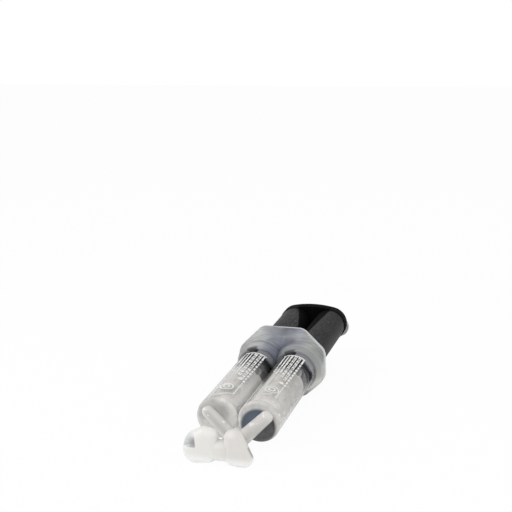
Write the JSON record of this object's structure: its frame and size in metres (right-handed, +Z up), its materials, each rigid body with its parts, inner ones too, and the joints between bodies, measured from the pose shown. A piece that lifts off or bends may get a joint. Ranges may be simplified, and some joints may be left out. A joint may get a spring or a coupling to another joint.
{
  "type": "epoxy syringe",
  "caption": "Twin-barrel adhesive syringe with a black double plunger, an octagonal finger flange and an off-white wing cap.",
  "frame": {"origin": "middle of the bounding box at the level of the flange's lower edge", "axes": "+Y along the syringe toward the thumb plate, +X across the two barrels toward the hardener side, +Z up"},
  "size_m": [0.042, 0.1626, 0.0348],
  "materials": {
    "clear_moulding": "translucent, slightly milky",
    "tinted_moulding": "translucent, cool grey",
    "resin": "clear thick liquid",
    "hardener": "clear thick liquid, a little warmer",
    "black_plastic": "satin",
    "white_plastic": "satin",
    "natural_plastic": "satin, slightly translucent"
  },
  "bodies": {
    "syringe": {"barrel_pair": "clear_moulding", "finger_flange": "tinted_moulding", "resin_fill": "resin", "hardener_fill": "hardener"},
    "plunger_set": {"plunger": "black_plastic", "piston_left": "black_plastic", "piston_right": "black_plastic"},
    "nose_cap": {"wing_cap": "white_plastic"},
    "spare_cap": {"reseal_cap": "natural_plastic"}
  },
  "joints": [
    {"name": "plunger_slide", "type": "slide", "parent": "syringe", "child": "plunger_set", "axis": [0, -1, 0], "range_m": [0, 0.0496], "deforming": ["resin_fill", "hardener_fill"]},
    {"name": "wing_cap_pull", "type": "slide", "parent": "syringe", "child": "nose_cap", "axis": [0, -1, 0], "range_m": [0, 0.025]},
    {"name": "spare_cap_pull", "type": "slide", "parent": "plunger_set", "child": "spare_cap", "axis": [0, 1, 0], "range_m": [0, 0.02]}
  ]
}
